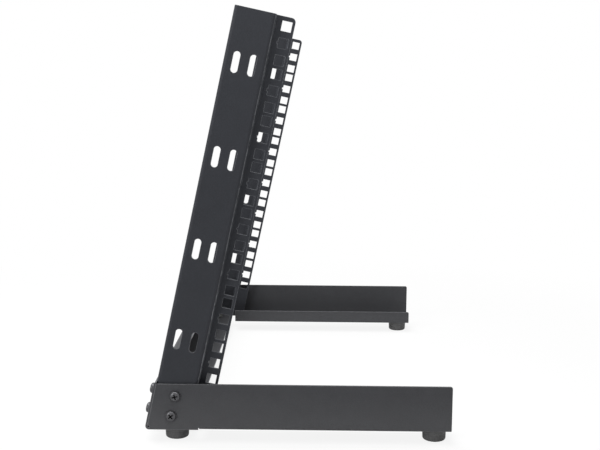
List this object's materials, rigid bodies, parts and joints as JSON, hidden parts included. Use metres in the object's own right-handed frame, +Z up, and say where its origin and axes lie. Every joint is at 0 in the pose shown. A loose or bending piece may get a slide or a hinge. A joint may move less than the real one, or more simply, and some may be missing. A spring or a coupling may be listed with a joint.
{
  "type": "desktop two-post equipment rack",
  "caption": "Open-frame desktop equipment rack: two leaning posts with square rack holes on a low base of side feet, front cross member and rubber pads.",
  "frame": {"origin": "centre of the footprint, on the surface that the rubber pads rest on", "axes": "+X across the rack, +Y from the front of the rack to its back, +Z up"},
  "size_m": [0.494, 0.2956, 0.4142],
  "materials": {
    "black_powder_coat": "fine textured powder coat, semi matt",
    "black_screw": "black zinc plated, semi gloss",
    "nut_steel": "bright zinc plated",
    "black_rubber": "matt moulded rubber"
  },
  "bodies": {
    "root": {"cross_member": "black_powder_coat", "upright_right": "black_powder_coat", "upright_left": "black_powder_coat", "side_foot_right": "black_powder_coat", "side_foot_left": "black_powder_coat", "side_screw_upper_right": "black_screw", "side_screw_upper_left": "black_screw", "side_screw_lower_right": "black_screw", "side_screw_lower_left": "black_screw", "side_nut_upper_right": "nut_steel", "side_nut_upper_left": "nut_steel", "side_nut_lower_right": "nut_steel", "side_nut_lower_left": "nut_steel", "front_screw_upper_right": "black_screw", "front_screw_upper_left": "black_screw", "front_screw_lower_right": "black_screw", "front_screw_lower_left": "black_screw", "front_nut_upper_right": "nut_steel", "front_nut_upper_left": "nut_steel", "front_nut_lower_right": "nut_steel", "front_nut_lower_left": "nut_steel", "rubber_pad_front_right": "black_rubber", "rubber_pad_front_left": "black_rubber", "rubber_pad_back_right": "black_rubber", "rubber_pad_back_left": "black_rubber"}
  },
  "joints": []
}
